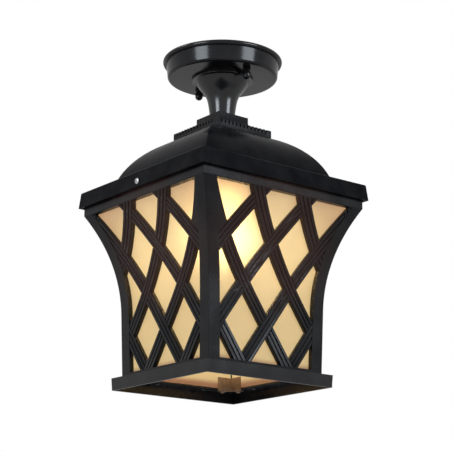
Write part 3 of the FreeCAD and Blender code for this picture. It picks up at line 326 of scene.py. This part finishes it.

# ---- Frosted panes ----------------------------------------------------------------------------
# Slumped amber glass, acid-frosted on the inside, stands behind each casting. Its glow from the bulb
# is painted on as emission: nearly white where the bulb is close, with painted shade that turns it
# peach under the roof and brown at the foot, where the glass colour is darkened too.
GLOW_WITHIN = 0.070
DIM_BEYOND = 0.122
EAVES_SHADE = (0.060, 0.010)
FOOT_SHADE = (0.003, 0.011)
MOTTLE_SIZE = 0.014
MOTTLE_SHIFT = 0.012
GLOW_NEAR_BULB = (0.80, 0.63, 0.34, 1)
GLOW_ON_OPEN_PANE = (0.49, 0.385, 0.205, 1)
SHADE_UNDER_EAVES_GLOW = (0.42, 0.27, 0.165, 1)
SHADE_AT_FOOT_GLOW = (0.25, 0.13, 0.07, 1)
SHADE_AT_FOOT_GLASS = (0.16, 0.085, 0.05, 1)
BODY_GLASS = (0.36, 0.27, 0.14, 1)
frosted = Finish("frosted_amber_glass", (0.42, 0.32, 0.17), Roughness=0.5, Transmission_Weight=0.45, IOR=1.3,
                 Emission_Strength=0.65)
# Painted lamplight: the panes glow as emission, brightest where the bulb is closest.
away = frosted.node("ShaderNodeVectorMath", {"operation": "DISTANCE"},
                    {0: frosted.place(), 1: bulb_centre}, "Value")
mottle = frosted.noise(MOTTLE_SIZE) - 0.5
reach = frosted.between(away + mottle * MOTTLE_SHIFT, GLOW_WITHIN, DIM_BEYOND)
height = frosted.node("ShaderNodeSeparateXYZ", {}, {0: frosted.place()}, "Z")
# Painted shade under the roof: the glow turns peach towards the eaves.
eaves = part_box("roof")[0].z
under_eaves = frosted.between(height, eaves - EAVES_SHADE[0], eaves - EAVES_SHADE[1])
shaded = frosted.mix(under_eaves, GLOW_ON_OPEN_PANE, SHADE_UNDER_EAVES_GLOW)
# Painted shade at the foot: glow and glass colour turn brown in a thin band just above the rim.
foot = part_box("glass_pane_front")[0].z
above_foot_shade = frosted.between(height, foot + FOOT_SHADE[0], foot + FOOT_SHADE[1])
glow_with_painted_shade = frosted.mix(above_foot_shade, SHADE_AT_FOOT_GLOW, shaded)
frosted.drive("Base Color", frosted.mix(above_foot_shade, SHADE_AT_FOOT_GLASS, BODY_GLASS))
frosted.drive("Emission Color", frosted.mix(reach, GLOW_NEAR_BULB, glow_with_painted_shade))
frosted.relief(frosted.noise(size=0.0009, detail=2.0), depth=0.00003)
for side in SIDES:
    eased("glass_pane_" + side, radius=0.0003, material=frosted.material)

# ---- Base rim ---------------------------------------------------------------------------------
# A square frame of pressed steel angle closes the cage below and carries castings and panes on
# its ledge. It is sprayed black like the canopy.
rim_black = black_paint("rim_black_enamel", roughness=0.24, peel=0.000006, shine=0.45).material
eased("base_rim", radius=0.0005, material=rim_black, steps=3)

# ---- Corner brackets and screws ---------------------------------------------------------------
# Folded sheet angles tie the corners together above and below. Zinc pan-head screws hold them, and
# the roof at front and back. The rim's screws are black like the rim, and the lower angles and their
# screws are a darker, browner zinc than the upper ones.
eased("rim_screws", radius=0.0002, material=rim_black)
lower_angle_zinc = plated_steel("darker_brown_zinc", colour=(0.34, 0.25, 0.19), roughness=0.42)
for fixing in ("lower_brackets", "lower_bracket_screws"):
    eased(fixing, radius=0.0002, material=lower_angle_zinc)
for fixing in ("upper_brackets", "upper_bracket_screws"):
    eased(fixing, radius=0.0002, material=zinc)
bright_zinc = plated_steel("polished_zinc", colour=(0.80, 0.80, 0.79), roughness=0.2)
eased("fascia_screws", radius=0.0002, material=bright_zinc)

# ---- Studio -----------------------------------------------------------------------------------
# Pale floor well below the hanging lantern, in a plain white room that is the backdrop too. Two
# window lamps light the front and the right side softly, and a small high one the left.
FLOOR_DROP = 2.4
FLOOR_REACH = 20.0
FLOOR_LIFT = (0.42, 0.42, 0.42, 1)
ROOM_LIGHT = 0.55
LAMP_DISTANCE = 1.8
WINDOW_SIZE = (0.75, 0.9)
WINDOW_RISE = 16
WINDOW_POWER = 19
sheet = bmesh.new()
floor_place = Matrix.Translation((0, 0, -FLOOR_DROP))
bmesh.ops.create_grid(sheet, x_segments=1, y_segments=1, size=FLOOR_REACH, matrix=floor_place)
floor_mesh = bpy.data.meshes.new("floor")
sheet.to_mesh(floor_mesh)
sheet.free()
plain = Finish("pale_floor", (0.9, 0.9, 0.9), Roughness=0.8, Emission_Strength=1.0)
to_camera = plain.node("ShaderNodeLightPath", {}, {}, "Is Camera Ray")
plain.drive("Emission Color", plain.mix(to_camera, (0, 0, 0, 1), FLOOR_LIFT))
floor_mesh.materials.append(plain.material)
floor = bpy.data.objects.new("floor", floor_mesh)
bpy.context.scene.collection.objects.link(floor)

world = bpy.data.worlds.new("studio")
bpy.context.scene.world = world
world.use_nodes = True
air = world.node_tree
background = air.nodes["Background"]
background.inputs["Color"].default_value = (1, 1, 1, 1)
rays = air.nodes.new("ShaderNodeLightPath")
seen = air.nodes.new("ShaderNodeMath")
seen.operation = "MAXIMUM"
air.links.new(rays.outputs["Is Camera Ray"], seen.inputs[0])
air.links.new(rays.outputs["Is Transmission Ray"], seen.inputs[1])
level = air.nodes.new("ShaderNodeMapRange")
level.inputs["To Min"].default_value = ROOM_LIGHT
level.inputs["To Max"].default_value = 1.0
air.links.new(seen.outputs[0], level.inputs["Value"])
air.links.new(level.outputs[0], background.inputs["Strength"])


def softbox(name, azimuth, elevation, distance, size, power, aim, colour=(1, 1, 1)):
    """Rectangular lamp at that bearing from the aim point, facing it."""
    lamp = bpy.data.lights.new(name, "AREA")
    lamp.shape = "RECTANGLE"
    lamp.size, lamp.size_y = size
    lamp.energy = power
    lamp.color = colour
    turn, rise = math.radians(azimuth), math.radians(elevation)
    towards = Vector((math.sin(turn) * math.cos(rise), -math.cos(turn) * math.cos(rise), math.sin(rise)))
    holder = bpy.data.objects.new(name, lamp)
    bpy.context.scene.collection.objects.link(holder)
    facing_aim = towards.to_track_quat("Z", "Y").to_matrix().to_4x4()
    holder.matrix_world = Matrix.Translation(aim + towards * distance) @ facing_aim


lantern_middle = (cad_box[0] + cad_box[1]) / 2
daylight = (0.84, 0.92, 1.0)
for name, bearing in (("left_window", 10), ("right_window", 104)):
    softbox(name, azimuth=bearing, elevation=WINDOW_RISE, distance=LAMP_DISTANCE, size=WINDOW_SIZE,
            power=WINDOW_POWER, aim=lantern_middle, colour=daylight)
softbox("high_lamp", azimuth=-35, elevation=40, distance=LAMP_DISTANCE, size=(0.5, 0.5),
        power=6, aim=lantern_middle)

# ---- Camera -----------------------------------------------------------------------------------
# The photograph looks up at a corner of the lantern from the front right, well below the roof.
# The bearing, lens and small trims are solved from the outlines of rim, fascia and canopy.
CAMERA_TURN = 51.8245
CAMERA_RISE = -15.773
CAMERA_DISTANCE = 1.5546
CAMERA_YAW = 0.1646
CAMERA_PITCH = -0.8263
CAMERA_ROLL = 0.2614
FOCAL_PIXELS = 1458.5
PHOTO_WIDTH = 452
pivot = Vector((0, 0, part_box("roof")[0].z))
turn, rise = math.radians(CAMERA_TURN), math.radians(CAMERA_RISE)
back = Vector((math.sin(turn) * math.cos(rise), -math.cos(turn) * math.cos(rise), math.sin(rise)))
aim = (-back).to_track_quat("-Z", "Y").to_matrix().to_4x4()
trim = (Matrix.Rotation(math.radians(-CAMERA_YAW), 4, "Y")
        @ Matrix.Rotation(math.radians(CAMERA_PITCH), 4, "X")
        @ Matrix.Rotation(math.radians(CAMERA_ROLL), 4, "Z"))
camera = bpy.data.cameras.new("camera")
camera.sensor_width = 36.0
camera.lens = FOCAL_PIXELS * camera.sensor_width / PHOTO_WIDTH
viewpoint = bpy.data.objects.new("camera", camera)
bpy.context.scene.collection.objects.link(viewpoint)
viewpoint.matrix_world = Matrix.Translation(pivot + back * CAMERA_DISTANCE) @ aim @ trim
bpy.context.scene.camera = viewpoint

view = bpy.context.scene.view_settings
view.view_transform = "Standard"
